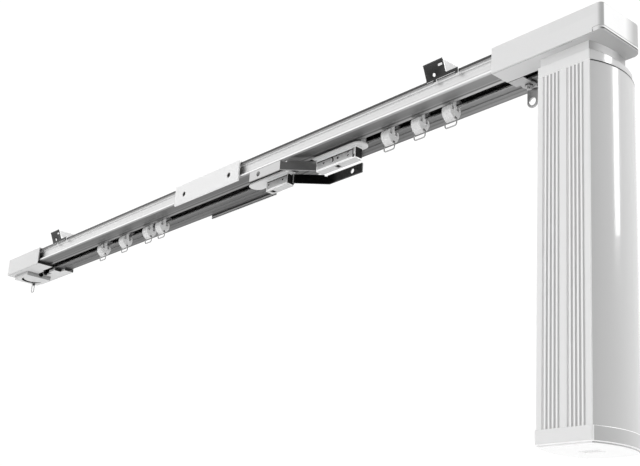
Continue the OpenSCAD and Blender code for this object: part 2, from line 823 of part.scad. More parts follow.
// Mains inlet in the bottom cap, with two contact pins.
module power_inlet() {
    color("dimgray") on_track() translate([shaft_x, inlet_y, motor_low]) {
        difference() {
            block([-inlet_w / 2, -inlet_d / 2, 0], [inlet_w / 2, inlet_d / 2, inlet_h]);
            block([-inlet_w / 2 + inlet_wall, -inlet_d / 2 + inlet_wall, -1],
                  [inlet_w / 2 - inlet_wall, inlet_d / 2 - inlet_wall, inlet_h - 2]);
        }
        for (side = [-1, 1])
            translate([side * inlet_pin_gap, 0, 0]) rod_z(inlet_pin_r, inlet_h / 2 - 1, inlet_h - 2 + eps);
    }
}

// Hook plate screwed under the track, with a tab for the curtain's outer edge.
module end_hook() {
    tab_z = -hook_drop + hook_w / 2;
    color("lightgray") on_track() translate([hook_x, 0, 0]) difference() {
        union() {
            block([-hook_plate_w / 2, -slot_w / 2, -hook_t], [hook_plate_w / 2 - 4, hook_screw_y - 4, 0]);
            block([-hook_w / 2, -slot_w / 2, -hook_t], [hook_w / 2, hook_y - hook_bend, 0]);
            translate([0, 0, -hook_t]) linear_extrude(hook_t) intersection() {
                translate([0, hook_screw_y]) circle(hook_w / 2 + 1);
                translate([-hook_w, -hook_w]) square([2 * hook_w, hook_w + hook_y - hook_bend]);
            }
            translate([-hook_w / 2, hook_y - hook_bend, -hook_bend]) rotate([90, 0, 90]) linear_extrude(hook_w)
                intersection() {
                    square(hook_bend);
                    difference() {
                        circle(hook_bend);
                        circle(hook_bend - hook_t);
                    }
                }
            block([-hook_w / 2, hook_y - hook_t, tab_z], [hook_w / 2, hook_y, -hook_bend + eps]);
            translate([0, 0, tab_z]) rod_y(hook_w / 2, hook_y - hook_t, hook_y);
        }
        translate([0, 0, tab_z]) rod_y(hook_hole_r, 0, through);
        translate([0, hook_screw_y, 0]) rod_z(screw_r + pin_gap, -hook_t - 1, 1);
    }
}

module end_hook_screw() {
    head_h = 1.6;
    color("silver") on_track() translate([hook_x, hook_screw_y, -hook_t - head_h])
        difference() {
            union() {
                rod_z(screw_head_r + 0.6, 0, head_h);
                rod_z(screw_r, 0, head_h + hook_t + floor_t + 1.5);
            }
            for (turn = [0, 90])
                rotate([0, 0, turn]) block([-1.8, -0.35, -1], [1.8, 0.35, 0.8]);
        }
}

// Carriers. Each is drawn pointing away from the meeting place along +X, with its arm on the -Y side.
module carrier_place(left) {
    on_track() translate([meet_x + (left ? -1 : 1) * meet_gap / 2, 0, 0]) rotate([0, 0, left ? 180 : 0]) children();
}

module carrier_body(left) {
    round_u = carrier_len - 2 - carrier_w / 2;
    color("white") carrier_place(left) difference() {
        union() {
            block([6, -stem_w / 2, -under_gap - eps], [carrier_len - 5, stem_w / 2, stem_top]);
            block([-2, -carrier_w / 2, shoulder_z], [round_u, carrier_w / 2, -under_gap]);
            translate([round_u, 0, 0]) rod_z(carrier_w / 2, shoulder_z, -under_gap);
        }
        for (u = wheel_u)
            translate([u, 0, axle_z]) rod_y(wheel_axle_r + pin_gap, -through, through);
    }
}

// Pressed sheet: a pierced web on the arm's side, a tray folded back from it, a foot and an end plate.
module carrier_hanger(left) {
    web_y = -hanger_w / 2;
    back_y = hanger_w / 2;
    lap_y = web_y + hanger_t + arm_t + seat_gap;
    end = left ? tray_len : hanger_len;
    end_u = end - hanger_t;
    web_u = left ? end_u : end_u - 2.8;
    mid_z = (shoulder_z + foot_z) / 2;
    color("lightgray") carrier_place(left) difference() {
        union() {
            block([0, web_y, foot_z], [web_u, web_y + hanger_t, shoulder_z]);
            block([arm_lap + seat_gap, web_y, shoulder_z - hanger_t], [end, back_y, shoulder_z]);
            block([0.4, lap_y, shoulder_z - hanger_t], [end, back_y, shoulder_z]);
            for (u = [0.4, tray_len - hanger_t])
                block([u, lap_y, foot_z - eps], [u + hanger_t, back_y, shoulder_z]);
            block([0.4, web_y, foot_z - hanger_t], [tray_len, back_y, foot_z + eps]);
            block([foot_u, -foot_w / 2, foot_z - hanger_t], [end, foot_w / 2, foot_z + eps]);
            block([end_u, web_y, foot_z], [end, back_y, shoulder_z]);
            block([0.4, back_y - hanger_t, foot_z], [tray_len, back_y, shoulder_z]);
        }
        for (u = [tray_len * 0.24, tray_len * 0.9])
            translate([u, 0, mid_z]) rod_y(0.9, back_y - hanger_t - 1, back_y + 1);
        block([foot_hole_u - foot_hole / 2, -foot_hole / 2, foot_z - hanger_t - 1],
              [foot_hole_u + foot_hole / 2, foot_hole / 2, foot_z + 1]);
        translate([0, web_y - 1, 0]) {
            translate([tray_len - 3.4, 0, mid_z]) rod_y(1.3, 0, hanger_t + 2);
            translate([tray_len * 0.313, 0, mid_z]) rod_y(1, 0, hanger_t + 2);
            for (dz = left ? [] : [-1.6, 1.6])
                translate([web_u - 6, 0, mid_z + dz]) rod_y(1, 0, hanger_t + 2);
            // Lanced half moon.
            translate([tray_len * 0.657, 0, mid_z]) difference() {
                rod_y(2.3, 0, hanger_t + 2);
                translate([-1.5, 0, 0]) rod_y(2.3, -1, hanger_t + 3);
            }
        }
    }
}

// Overlap arm: one bent strip, riveted inside the hanger's web.
module carrier_arm(left) {
    top = shoulder_z - 0.1;
    near = hanger_w / 2 - hanger_t - arm_t;
    far = arm_reach - arm_t / 2;
    slant = arm_t * (sqrt(2) - 1);
    run = far - near + arm_out;
    tip = -run - arm_run;
    color(left ? "dimgray" : "silver") carrier_place(left) difference() {
        translate([0, 0, top - arm_h]) linear_extrude(arm_h) polygon([
            [arm_lap, -near], [-arm_out, -near], [-run, -far], [tip, -far],
            [tip, -far - arm_t], [-run + slant, -far - arm_t], [-arm_out + slant, -near - arm_t],
            [arm_lap, -near - arm_t],
        ]);
        translate([tip + arm_hole_in, 0, top - arm_h / 2]) rod_y(arm_hole_r, -through, through);
        // Notch that clears the joiner's lower edge.
        block([-run - 1, -far + arm_clear / 2, -joiner_drop - arm_clear], [0, -track_w / 2 + arm_clear / 2, 1]);
    }
}

// Clip that grips the belt's lower edge from below.
module carrier_clip(left) {
    cheek_in = belt_in - run_gap;
    cheek_out = belt_out + run_gap;
    outer = inner_y - run_gap;
    color("ivory") carrier_place(left) difference() {
        block([clip_u, -outer, clip_z - clip_t], [clip_u + clip_len, -stem_w / 2, clip_top]);
        block([clip_u - 1, -cheek_out, clip_z], [clip_u + clip_len + 1, -cheek_in, clip_top + 1]);
        block([clip_u - 1, -cheek_in + clip_t, clip_z], [clip_u + clip_len + 1, 0, clip_top + 1]);
    }
}

// Two wheels on one axle.
module wheelset() {
    rod_y(wheel_axle_r, -wheel_y - wheel_w - 0.6, wheel_y + wheel_w + 0.6);
    for (y = [-wheel_y - wheel_w, wheel_y])
        rod_y(wheel_r, y, y + wheel_w);
}

module carrier_wheels(left, i) {
    color("ivory") carrier_place(left) translate([wheel_u[i], 0, axle_z]) wheelset();
}

module carrier_right_body() { carrier_body(false); }
module carrier_right_hanger() { carrier_hanger(false); }
module carrier_right_arm() { carrier_arm(false); }
module carrier_right_clip() { carrier_clip(false); }
module carrier_right_wheels_a() { carrier_wheels(false, 0); }
module carrier_right_wheels_b() { carrier_wheels(false, 1); }
module carrier_left_body() { carrier_body(true); }
module carrier_left_hanger() { carrier_hanger(true); }
module carrier_left_arm() { carrier_arm(true); }
module carrier_left_clip() { carrier_clip(true); }
module carrier_left_wheels_a() { carrier_wheels(true, 0); }
module carrier_left_wheels_b() { carrier_wheels(true, 1); }

// Roller glider: a post through the slot, and under the track a bowl with an eye for the ring in its keel.
module glider_section() {
    lean = 0.15 * glider_w;
    r = glider_w / 2 + lean;
    mid = -under_gap - glider_well;
    intersection() {
        translate([-glider_w / 2, mid - r]) square([glider_w, r + glider_well]);
        translate([lean, mid]) circle(r);
        translate([-lean, mid]) circle(r);
    }
}

module glider(x) {
    half = glider_len / 2;
    well_y = glider_w / 3;
    color("aliceblue") on_track() translate([x, 0, 0]) difference() {
        union() {
            block([-half + 1, -glider_post / 2, -under_gap - eps], [half - 1, glider_post / 2, stem_top]);
            along_x(-half, half) glider_section();
            translate([0, 0, eye_z]) rod_x(eye_r, -half, half);
        }
        for (y = [-well_y, glider_post / 2])
            block([-half - 1, y, -under_gap - glider_well], [half + 1, y + well_y - glider_post / 2, -under_gap + eps]);
        translate([0, 0, axle_z]) rod_y(wheel_axle_r + pin_gap, -through, through);
        translate([0, 0, eye_z]) rod_x(wire_r + run_gap, -through, through);
    }
}

module glider_wheels(x) {
    color("ivory") on_track() translate([x, 0, axle_z]) wheelset();
}

module glider_ring(x) {
    color("silver") on_track() translate([x, 0, eye_z]) wire_ring(ring_half, ring_drop);
}

track_left();
track_right();
track_joiner();
joiner_screws();
ceiling_clamp_left();
ceiling_clamp_right();
drive_cover();
drive_base();
housing_screws();
shaft_bearing();
drive_pulley();
output_shaft();
drive_belt();
idler_cover();
idler_base();
idler_axle();
idler_pulley();
end_ring();
motor_top_cap();
motor_body();
motor_bottom_cap();
motor_can();
gearbox();
control_board();
power_inlet();
end_hook();
end_hook_screw();
carrier_right_body();
carrier_right_hanger();
carrier_right_arm();
carrier_right_clip();
carrier_right_wheels_a();
carrier_right_wheels_b();
carrier_left_body();
carrier_left_hanger();
carrier_left_arm();
carrier_left_clip();
carrier_left_wheels_a();
carrier_left_wheels_b();
for (i = [0 : len(right_names) - 1]) {
    glider(right_gliders[i]);
    glider_wheels(right_gliders[i]);
    glider_ring(right_gliders[i]);
}
for (i = [0 : len(left_names) - 1]) {
    glider(left_gliders[i]);
    glider_wheels(left_gliders[i]);
    glider_ring(left_gliders[i]);
}
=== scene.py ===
"""Looks for a motorised curtain track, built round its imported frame, in metres with +Z up."""

import json
import math

import bmesh
import bpy
from mathutils import Euler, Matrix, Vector

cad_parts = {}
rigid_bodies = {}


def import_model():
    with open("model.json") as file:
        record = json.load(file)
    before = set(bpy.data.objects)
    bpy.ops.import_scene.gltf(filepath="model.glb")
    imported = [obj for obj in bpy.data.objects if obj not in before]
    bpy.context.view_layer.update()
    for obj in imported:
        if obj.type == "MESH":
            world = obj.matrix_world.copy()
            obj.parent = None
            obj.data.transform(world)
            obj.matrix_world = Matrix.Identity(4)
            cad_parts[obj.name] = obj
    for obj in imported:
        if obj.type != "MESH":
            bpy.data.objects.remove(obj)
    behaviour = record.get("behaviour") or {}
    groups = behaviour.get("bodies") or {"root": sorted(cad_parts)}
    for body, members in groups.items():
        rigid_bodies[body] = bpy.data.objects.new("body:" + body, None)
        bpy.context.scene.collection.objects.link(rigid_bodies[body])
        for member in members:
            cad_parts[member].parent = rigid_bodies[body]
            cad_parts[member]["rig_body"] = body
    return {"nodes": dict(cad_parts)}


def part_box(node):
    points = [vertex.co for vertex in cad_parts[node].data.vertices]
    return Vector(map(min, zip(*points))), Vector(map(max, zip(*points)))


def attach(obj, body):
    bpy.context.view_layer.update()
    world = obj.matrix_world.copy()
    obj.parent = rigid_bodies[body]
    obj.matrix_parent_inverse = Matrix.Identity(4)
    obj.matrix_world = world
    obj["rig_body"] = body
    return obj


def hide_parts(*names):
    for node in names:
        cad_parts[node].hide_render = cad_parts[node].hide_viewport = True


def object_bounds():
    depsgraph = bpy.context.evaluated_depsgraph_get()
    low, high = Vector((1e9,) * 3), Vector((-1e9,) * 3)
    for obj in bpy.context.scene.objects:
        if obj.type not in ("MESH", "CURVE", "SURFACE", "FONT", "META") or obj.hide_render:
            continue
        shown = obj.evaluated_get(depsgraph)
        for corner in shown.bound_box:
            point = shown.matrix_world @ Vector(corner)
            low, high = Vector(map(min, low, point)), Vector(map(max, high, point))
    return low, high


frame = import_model()
cad_low, cad_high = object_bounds()
solids = frame["nodes"]

# Track: two lengths of one aluminium extrusion, butted end to end under the joiner.
# It is drawn through a die, so fine lines run along it, and then satin anodised.
# The belt runs inside it; the inside is painted near black as painted shade, and its face, lip and
# underside carry painted shade and painted highlights.


class Wire:
    """An output socket of a finish. Arithmetic on it adds Math nodes."""

    def __init__(self, finish, socket):
        self.finish = finish
        self.socket = socket

    def math(self, operation, first, second=0.0):
        return self.finish.node("ShaderNodeMath", {"operation": operation}, {0: first, 1: second})

    def __add__(self, other):
        return self.math("ADD", self, other)

    def __sub__(self, other):
        return self.math("SUBTRACT", self, other)

    def __rsub__(self, other):
        return self.math("SUBTRACT", other, self)

    def __mul__(self, other):
        return self.math("MULTIPLY", self, other)

    def __gt__(self, other):
        return self.math("GREATER_THAN", self, other)

    def __lt__(self, other):
        return self.math("LESS_THAN", self, other)

    def __abs__(self):
        return self.math("ABSOLUTE", self)

    __radd__ = __add__
    __rmul__ = __mul__


class Finish:
    """A node tree for one finish, and the method that adds a node to it."""

    def __init__(self, name, tree=None):
        if tree is None:
            self.material = bpy.data.materials.new(name)
            self.material.use_nodes = True
            tree = self.material.node_tree
        self.tree = tree
        self.shader = tree.nodes.get("Principled BSDF")

    def feed(self, socket, value):
        if isinstance(value, Wire):
            self.tree.links.new(value.socket, socket)
        else:
            socket.default_value = value

    def node(self, kind, settings, inputs, output=0):
        made = self.tree.nodes.new(kind)
        for name, value in settings.items():
            if name == "stops":
                ramp = made.color_ramp.elements
                while len(ramp) < len(value):
                    ramp.new(1.0)
                for stop, (place, shade) in zip(ramp, value):
                    stop.position = place
                    stop.color = (shade, shade, shade, 1.0)
            else:
                setattr(made, name, value)
        for name, value in inputs.items():
            self.feed(made.inputs[name], value)
        return Wire(self, made.outputs[output])

    def shade(self, inputs):
        for name, value in inputs.items():
            self.feed(self.shader.inputs[name], value)
        return self

    def place(self):
        return self.node("ShaderNodeTexCoord", {}, {}, "Object")

    def axis(self, letter):
        return self.node("ShaderNodeSeparateXYZ", {}, {0: self.place()}, letter)

    def facing(self, letter):
        outward = self.node("ShaderNodeTexCoord", {}, {}, "Normal")
        return self.node("ShaderNodeSeparateXYZ", {}, {0: outward}, letter)

    def span(self, value, low, high):
        return self.node("ShaderNodeMapRange", {}, {"Value": value, "From Min": low, "From Max": high})

    def bands(self, value, low, high, stops):
        share = self.span(value, low, high)
        places = [((place - low) / (high - low), shade) for place, shade in stops]
        return self.node("ShaderNodeValToRGB", {"stops": places}, {"Fac": share})

    def noise(self, stretch, detail=2.0):
        spread = self.node("ShaderNodeMapping", {}, {"Vector": self.place(), "Scale": stretch})
        return self.node("ShaderNodeTexNoise", {}, {"Vector": spread, "Scale": 1.0, "Detail": detail})

    def hollow(self, reach):
        return 1 - self.node("ShaderNodeAmbientOcclusion", {"samples": 12}, {"Distance": reach}, "AO")

    def mix(self, share, first, second):
        return self.node("ShaderNodeMix", {"data_type": "RGBA"}, {0: share, 6: first, 7: second}, 2)

    def bump(self, height, depth):
        return self.node("ShaderNodeBump", {}, {"Strength": 1.0, "Distance": depth, "Height": height})


def grey(value, cool=0.0):
    return (value, value + cool * 0.4, value + cool, 1.0)


SHARP = math.radians(32)
FLAT = math.radians(1)


def eased(node, radius, finish, segments=2):
    """A CAD piece with its triangles joined into faces and its sharp edges rounded over."""
    shape = bmesh.new()
    shape.from_mesh(solids[node].data)
    bmesh.ops.remove_doubles(shape, verts=shape.verts, dist=1e-6)
    bmesh.ops.dissolve_limit(shape, angle_limit=FLAT, verts=shape.verts, edges=shape.edges)
    mesh = bpy.data.meshes.new(node + "_shown")
    shape.to_mesh(mesh)
    shape.free()
    for stale in ("custom_normal", "UVMap"):
        if stale in mesh.attributes:
            mesh.attributes.remove(mesh.attributes[stale])
    mesh.shade_smooth()
    mesh.set_sharp_from_angle(angle=SHARP)
    mesh.materials.clear()
    mesh.materials.append(finish.material)
    piece = bpy.data.objects.new(node + "_shown", mesh)
    bpy.context.scene.collection.objects.link(piece)
    if radius:
        rounding = piece.modifiers.new("rounding", "BEVEL")
        rounding.width = radius
        rounding.segments = segments
        rounding.limit_method = "ANGLE"
        rounding.angle_limit = SHARP
        rounding.harden_normals = True
        rounding.use_clamp_overlap = False
    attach(piece, solids[node]["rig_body"])
    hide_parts(node)


track_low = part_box("track_left")[0].z
HALF_WIDTH = 0.0240
INSIDE_HALF = 0.0192
FLOOR = 0.0021
ROOF = 0.0149
BAND_HALF = 0.012
BAND_DEPTH = 0.0006
LIP_UNDER = 0.0131
LIP_LOW = 0.0134
LIP_FRONT = 0.0139
LIP_IN = 0.0206
LIP_TUCK = 0.0214
LIT_END = (0.22, 0.37)
# Painted light and shade across the underside: dark bands, and thin painted highlights at its edges and
# beside the slot.
UNDERSIDE_PAINTED_LIGHT = (
    (-0.0240, 1.00),
    (-0.0230, 0.80),
    (-0.0218, 0.36),
    (-0.0130, 0.33),
    (-0.0118, 0.54),
    (-0.0108, 0.50),
    (-0.0094, 0.20),
    (-0.0084, 0.24),
    (-0.0072, 0.74),
    (-0.0045, 0.66),
    (0.0045, 0.44),
    (0.0060, 0.38),
    (0.0075, 0.33),
    (0.0150, 0.32),
    (0.0165, 0.22),
    (0.0178, 0.34),
    (0.0200, 0.40),
    (0.0212, 0.22),
    (0.0225, 0.50),
    (0.0240, 0.60),
)
# Painted light on the front face: a painted highlight along the nose, and a lighter band under the lip
# that offsets its shadow.
FACE_PAINTED_LIGHT = ((0.0, 0.86), (0.0022, 0.74), (0.0030, 0.58), (0.0090, 0.52), (0.0110, 0.62), (0.0134, 0.70))

anodised = Finish("anodised_aluminium")
across = anodised.axis("Y")
height = anodised.axis("Z") - track_low
# Painted shade: the inside of the slot is painted near black, standing in for the shade within.
inside = (abs(across) < INSIDE_HALF) * (height > FLOOR) * (height < ROOF)
under = (anodised.facing("Z") < -0.5) * (height < LIP_LOW)
# Painted reflection: the lip's front face is painted dark.
lip = (abs(across) > LIP_IN) * (height > LIP_FRONT)
# Painted light under the lip: dark at its outer edge to bright within, with a painted glow added.
lip_below = (abs(across) > LIP_IN) * (height > LIP_UNDER) * (height < LIP_FRONT)
painted_lip_underlight = lip_below * anodised.span(abs(across), HALF_WIDTH, LIP_TUCK)
die_lines = anodised.noise((3.0, 1400.0, 1400.0))
streaks = anodised.noise((2.0, 900.0, 900.0), 4.0)
cloud = anodised.noise((9.0, 40.0, 40.0))
# Painted shade along the underside: painted darker, in random streaks, except towards the lit right end.
lit_end = anodised.span(anodised.axis("X"), *LIT_END)
underside_painted_light = anodised.bands(across, -HALF_WIDTH, HALF_WIDTH, UNDERSIDE_PAINTED_LIGHT)
streaked_and_shaded_underside = anodised.mix((0.35 + 0.5 * streaks) * (1 - 0.7 * lit_end), underside_painted_light, grey(0.04))
# The underside is painted darker along its narrow step.
band_step = (abs(abs(across) - BAND_HALF) < BAND_DEPTH) * (height < 1.5 * BAND_DEPTH)
face_painted_light = anodised.bands(height, 0.0, LIP_LOW, FACE_PAINTED_LIGHT)
face_and_underside = anodised.mix(under, anodised.mix(cloud * 0.12, face_painted_light, grey(0.1)), streaked_and_shaded_underside)
step_darkened = anodised.mix(band_step, face_and_underside, grey(0.22))
lip_underside_painted_light = anodised.mix(lip_below, step_darkened, anodised.mix(painted_lip_underlight, grey(0.46), grey(0.92)))
anodised.shade(
    {
        "Base Color": anodised.mix(inside, anodised.mix(lip, lip_underside_painted_light, grey(0.05)), grey(0.012)),
        "Emission Color": anodised.mix(painted_lip_underlight, grey(0.0), grey(0.09)),
        "Emission Strength": 1.0,
        "Metallic": (1 - inside) * 0.9,
        "Roughness": 0.34 + 0.1 * die_lines,
        "Normal": anodised.bump(die_lines, 0.00002),
    }
)
for node in ("track_left", "track_right"):
    eased(node, 0.00025, anodised)

# Joiner: a white moulded saddle that sits over the butt joint and is pinched by grub screws.
# The screws are black, with a hexagon socket, and lie just below the saddle's face.

joiner_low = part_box("track_joiner")[0].z
FAR_WALL = 0.02
WALL_DROP = 0.0034
INNER_WALL = ((0.0, 0.03), (0.0009, 0.05), (0.0012, 0.62), (0.0024, 0.50), (0.0030, 0.06), (0.0034, 0.04))
bright_white = Finish("bright_white_plastic")
mould_skin = bright_white.noise((700.0, 700.0, 700.0))
# Painted shade: the far wall's inner face, seen below the track, is painted in dark and light bands.
far_wall = (bright_white.axis("Y") > FAR_WALL) * (bright_white.facing("Y") < -0.5)
above_edge = bright_white.axis("Z") - joiner_low
shaded = bright_white.bands(above_edge, 0.0, WALL_DROP, INNER_WALL)
open_skin = bright_white.mix(mould_skin, grey(0.93), grey(0.97))
bright_white.shade(
    {
        "Base Color": bright_white.mix(far_wall, open_skin, shaded),
        "Roughness": 0.36 + 0.12 * mould_skin,
        "Normal": bright_white.bump(mould_skin, 0.000012),
    }
)
black_steel = Finish("black_oxide_steel")
mottle = black_steel.noise((500.0, 500.0, 500.0))
black_steel.shade(
    {
        "Base Color": black_steel.mix(mottle, grey(0.008), grey(0.022)),
        "Metallic": 0.6,
        "Roughness": 0.26 + 0.2 * mottle,
        "Normal": black_steel.bump(mottle, 0.00002),
    }
)
eased("track_joiner", 0.0005, bright_white, 3)
eased("joiner_screws", 0.0002, black_steel)

# Ceiling clamps: folded from hardened, polished spring steel, with punched holes, outer faces painted dark
# as a painted reflection and inner faces given a painted highlight and glow.
# Each is screwed to the ceiling through its plate, and the track's lips snap into its teeth.

clamp_low, clamp_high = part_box("ceiling_clamp_right")
LEAN = 0.004
TEETH = 0.004
clamp_steel = Finish("shaded_spring_steel")
grain = clamp_steel.noise((60.0, 900.0, 900.0))
smoke = clamp_steel.noise((70.0, 70.0, 70.0))
# Painted reflection and light: outer faces dark, darker towards the teeth; inner faces bright with a
# painted glow.
outer_face = (clamp_steel.facing("Y") * clamp_steel.axis("Y")) > LEAN
low_down = clamp_steel.span(clamp_steel.axis("Z"), clamp_high.z, clamp_low.z + TEETH)
outer_painted_dark = clamp_steel.mix(smoke * 0.4 + low_down * 0.6, grey(0.06), grey(0.012))
inner_painted_bright = clamp_steel.mix(grain, grey(0.7), grey(0.84))
clamp_steel.shade(
    {
        "Base Color": clamp_steel.mix(outer_face, inner_painted_bright, outer_painted_dark),
        "Metallic": outer_face * 0.8 + 0.1,
        "Emission Color": clamp_steel.mix(outer_face, grey(0.27), grey(0.0)),
        "Emission Strength": 1.0,
        "Roughness": 0.2 + 0.15 * grain,
        "Normal": clamp_steel.bump(grain, 0.00002),
    }
)
for node in ("ceiling_clamp_left", "ceiling_clamp_right"):
    eased(node, 0.00025, clamp_steel)

# Drive housing: a white moulded cover over the track's end, closed below by a screwed base.
# The base carries the collar, with a ball bearing for the shaft that comes up from the motor.

plate_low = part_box("drive_cover")[0].z
PLATE = 0.003
PLATE_FOOT = 0.0001
PLATE_CORNER = (0.460, -0.010)
FAR_SIDE = (0.004, 0.015)
UNDER_FADE = (0.43, 0.485)
END_PAINTED_SHADE = ((0.0, 0.5), (0.0005, 0.42), (0.0007, 0.03), (0.0018, 0.03), (0.0020, 0.86), (0.003, 0.86))
CORNER_PAINTED_SHADE = ((0.0, 0.84), (0.30, 0.74), (0.90, 0.40), (0.95, 0.44), (0.985, 0.84), (1.0, 0.84))
white_gloss = Finish("white_moulded_plastic")
orange_peel = white_gloss.noise((900.0, 900.0, 900.0))
shading = white_gloss.noise((12.0, 12.0, 12.0))
end_on = white_gloss.facing("X")
# Painted shade on the front's rounded vertical corner, darkest where it turns to the end.
front_turn = (end_on > 0.02) * (white_gloss.facing("Y") < 0)
turned = white_gloss.bands(end_on, 0.0, 1.0, CORNER_PAINTED_SHADE)
# Painted shade: the far part of the end face is painted grey.
far_end_painted_shade = (end_on > 0.2) * white_gloss.span(white_gloss.axis("Y"), *FAR_SIDE)
plate_rise = white_gloss.axis("Z") - plate_low
past_corner = (white_gloss.axis("X") > PLATE_CORNER[0]) * (white_gloss.axis("Y") < PLATE_CORNER[1])
near_corner = (plate_rise < 1.8 * PLATE) * past_corner
# Painted shade from occlusion in crevices and the parting gap, left out near the plate's corner.
parting_gap_shade = white_gloss.span(white_gloss.hollow(0.0009), 0.35, 0.8) * (1 - near_corner)
# Painted shade on the base plate's end: greyer, with a dark painted shadow line.
plate_edge = white_gloss.span(end_on, 0.45, 0.9) * (plate_rise < PLATE) * (plate_rise > PLATE_FOOT)
plate_painted_shade = white_gloss.bands(plate_rise, 0.0, PLATE, END_PAINTED_SHADE)
# Painted shade: downward faces are painted grey, more so towards the end.
towards_end = white_gloss.span(white_gloss.axis("X"), *UNDER_FADE)
underside_painted_shade = (white_gloss.facing("Z") < -0.5) * (0.25 + 0.75 * towards_end)
sides = white_gloss.mix(front_turn, white_gloss.mix(shading, grey(0.82), grey(0.86)), turned)
end_face = white_gloss.mix(plate_edge, white_gloss.mix(far_end_painted_shade, sides, grey(0.42)), plate_painted_shade)
white_skin = white_gloss.mix(underside_painted_shade, end_face, grey(0.52))
white_gloss.shade(
    {
        "Base Color": white_gloss.mix(parting_gap_shade, white_skin, grey(0.12)),
        "Roughness": 0.3 + 0.12 * orange_peel,
        "Normal": white_gloss.bump(orange_peel, 0.000012),
    }
)
turned_steel = Finish("turned_steel")
turning = turned_steel.noise((700.0, 700.0, 2500.0))
turned_steel.shade(
    {
        "Base Color": turned_steel.mix(turning, grey(0.5), grey(0.66)),
        "Metallic": 1.0,
        "Roughness": 0.22 + 0.2 * turning,
        "Normal": turned_steel.bump(turning, 0.00001),
    }
)
eased("drive_cover", 0.0006, white_gloss, 3)
eased("drive_base", 0.0003, white_gloss)
for node in ("housing_screws", "shaft_bearing", "output_shaft"):
    eased(node, 0.00015, turned_steel)

# Motor: a tall casing with a flat reeded front and curved sides, between two white caps.
# Inside hang the gearbox and the motor's can, and a control board stands on the bottom cap.
# The power inlet is a white socket let into that cap, and the casing's joint at the top carries a painted
# shadow line.

casing_low, casing_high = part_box("motor_body")
casing_mid = (casing_low.x + casing_high.x) / 2
FRONT_SKIN = 0.0005
FRONT_HALF = 0.0224
GROOVE = 0.0036
GROOVE_SIDE = (0.00005, 0.00035)
REEDS = (0.0039, 0.0173)
SEAM = 0.0012
FOOT_RIM = 0.0006
RIM_FADE = (0.0215, 0.0300)
OVERLAP = 0.0001


def casing_finish(name, front, side, side_gloss):
    """White plastic whose curved sides are glossier and greyer than its flat front."""
    made = Finish(name)
    level = made.axis("Z")
    depth_in = made.axis("Y") - casing_low.y
    off_middle = abs(made.axis("X") - casing_mid)
    beside = off_middle > FRONT_HALF
    flank = (depth_in > FRONT_SKIN) * beside + (depth_in > GROOVE) * (1 - beside)
    on_casing = (level > casing_low.z) * (level < casing_high.z)
    # Painted shade in the reed grooves, and a painted highlight glow on the ridges.
    reeded = on_casing * (off_middle > REEDS[0]) * (off_middle < REEDS[1]) * (depth_in < GROOVE)
    # Painted light: downward faces are painted near white and given a painted glow.
    underside = made.facing("Z") < -0.6
    groove_shade = reeded * made.span(depth_in, *GROOVE_SIDE)
    ridge_highlight = reeded * (1 - groove_shade)
    fine_grain = made.noise((1200.0, 1200.0, 1200.0))
    drift = made.noise((14.0, 14.0, 5.0))
    # Painted shadow: a dark line along the casing's top edge on the flank, where it meets the cap.
    seam_shadow = flank * (level > casing_high.z - SEAM) * (level < casing_high.z + OVERLAP)
    # Painted highlight: a bright band with a glow along the lower rim of the flank.
    on_rim = flank * (level > casing_low.z - FOOT_RIM) * (level < casing_low.z + OVERLAP)
    rim = on_rim * made.span(off_middle, *RIM_FADE)
    lit = (ridge_highlight * 0.13 + rim * 0.12) * (1 - underside) + underside * 0.19
    flat = made.mix(drift, grey(front - 0.02), grey(front + 0.02))
    skin = made.mix(flank, made.mix(groove_shade, flat, grey(0.66)), made.mix(rim, grey(side), grey(0.94)))
    return made.shade(
        {
            "Base Color": made.mix(underside, made.mix(seam_shadow, skin, grey(0.02)), grey(0.94)),
            "Emission Color": made.mix(lit, grey(0.0), grey(1.0)),
            "Emission Strength": 1.0,
            "Roughness": 0.36 - 0.22 * flank + 0.5 * seam_shadow + 0.08 * fine_grain,
            "Coat Weight": side_gloss * flank * (1 - seam_shadow),
            "Normal": made.bump(fine_grain, 0.000008),
        }
    )


motor_casing = casing_finish("motor_casing", 0.90, 0.48, 0.6)
motor_cap = casing_finish("motor_cap", 0.89, 0.52, 0.6)
foot_cap = casing_finish("motor_foot_cap", 0.89, 0.45, 0.5)
cast_grey = Finish("die_cast_grey")
casting = cast_grey.noise((400.0, 400.0, 400.0))
cast_grey.shade(
    {
        "Base Color": cast_grey.mix(casting, grey(0.3), grey(0.4)),
        "Metallic": 0.8,
        "Roughness": 0.45 + 0.2 * casting,
        "Normal": cast_grey.bump(casting, 0.0001),
    }
)
inlet_white = Finish("inlet_plastic")
spark = inlet_white.noise((1500.0, 1500.0, 1500.0))
# Painted shade in the socket's mouth from occlusion, and a faint painted glow on the whole inlet.
mouth = inlet_white.span(inlet_white.hollow(0.003), 0.5, 0.9)
inlet_white.shade(
    {
        "Base Color": inlet_white.mix(mouth, inlet_white.mix(spark, grey(0.80), grey(0.86)), grey(0.6)),
        "Emission Color": inlet_white.mix(mouth, grey(0.16), grey(0.1)),
        "Emission Strength": 1.0,
        "Roughness": 0.4 + 0.12 * spark,
        "Normal": inlet_white.bump(spark, 0.00002),
    }
)
board_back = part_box("control_board")[1].y
BOARD = 0.0018
circuit_board = Finish("circuit_board")
off_board = (board_back - circuit_board.axis("Y")) > BOARD
tracks = circuit_board.noise((600.0, 600.0, 90.0)) > 0.58
circuit_board.shade(
    {
        "Base Color": circuit_board.mix(
            off_board,
            circuit_board.mix(tracks, (0.02, 0.14, 0.06, 1.0), (0.05, 0.24, 0.11, 1.0)),
            grey(0.05),
        ),
        "Roughness": 0.35 + 0.1 * tracks,
    }
)
eased("motor_top_cap", 0.0006, motor_cap, 3)
eased("motor_body", 0.0003, motor_casing)
eased("motor_bottom_cap", 0.0006, foot_cap, 3)
eased("gearbox", 0.0005, cast_grey)
